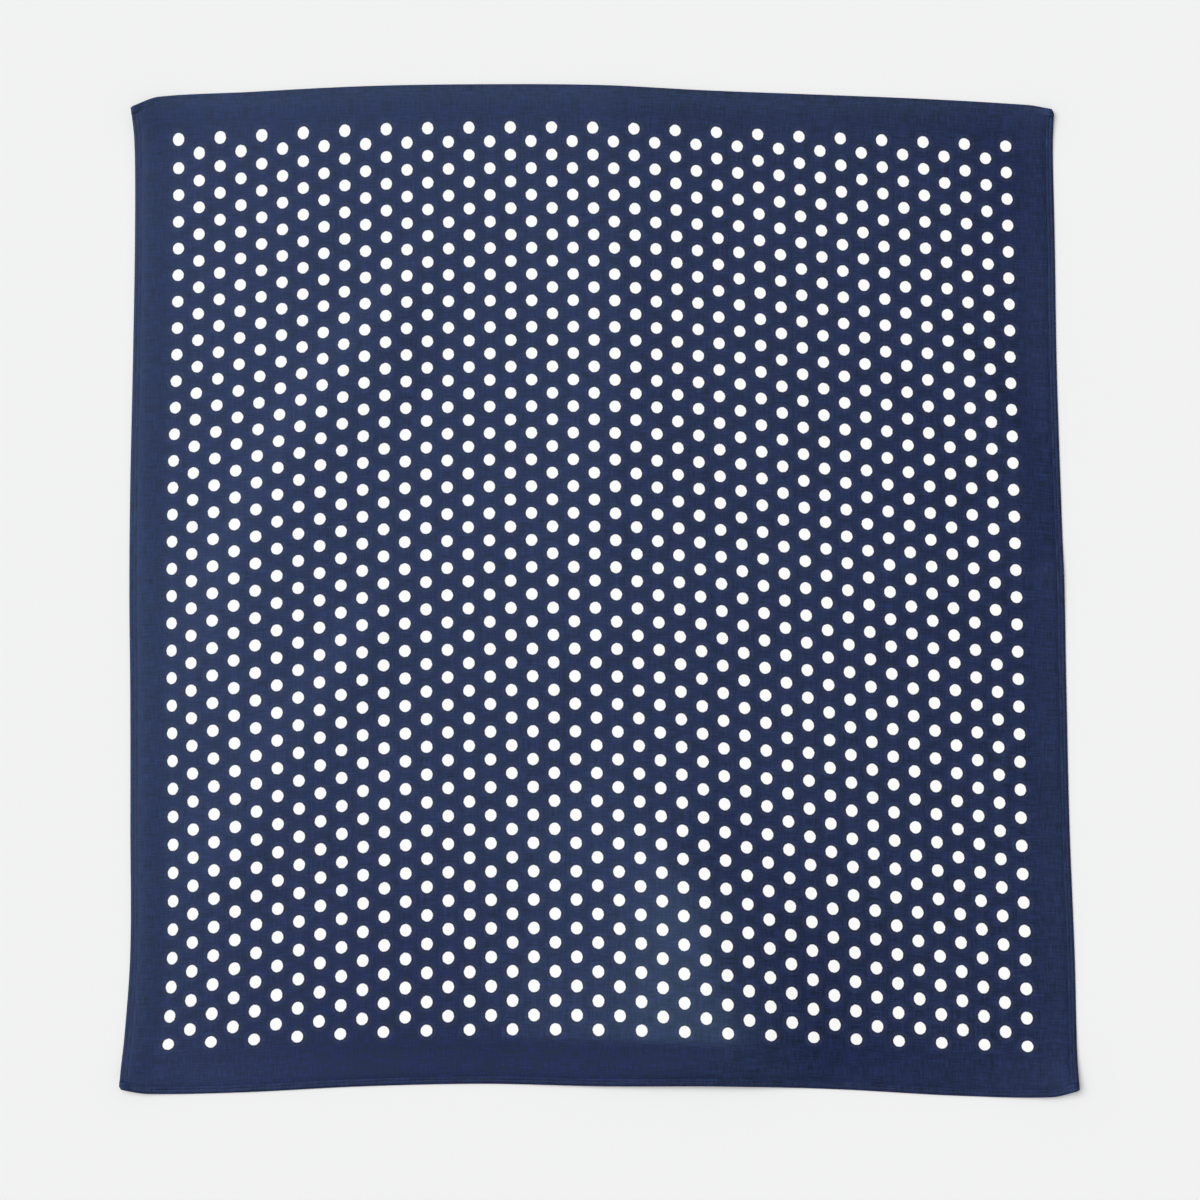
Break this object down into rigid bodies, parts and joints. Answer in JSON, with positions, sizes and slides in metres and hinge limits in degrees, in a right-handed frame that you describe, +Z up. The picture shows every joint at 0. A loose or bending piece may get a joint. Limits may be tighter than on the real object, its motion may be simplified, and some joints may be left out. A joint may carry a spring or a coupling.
{
  "type": "cotton bandana laid flat",
  "caption": "Nearly square woven cotton kerchief with narrow turned and stitched hems and an all-over dot print, laid out flat face up.",
  "frame": {"origin": "middle of the laid cloth's bounding box, on the surface it lies on", "axes": "+Z up off the surface, out of the printed face; +Y towards the top edge of the picture, along the cloth's longer way; +X to the right"},
  "size_m": [0.526, 0.5672, 0.0063],
  "materials": {
    "printed_cotton": "navy plain-weave cotton with a staggered print of white dots, matt with a faint nap",
    "hem_cotton": "the same navy cotton turned twice and stitched with navy thread, matt"
  },
  "bodies": {
    "root": {"panel": "printed_cotton", "hem_top": "hem_cotton", "hem_bottom": "hem_cotton", "hem_left": "hem_cotton", "hem_right": "hem_cotton"}
  },
  "joints": []
}
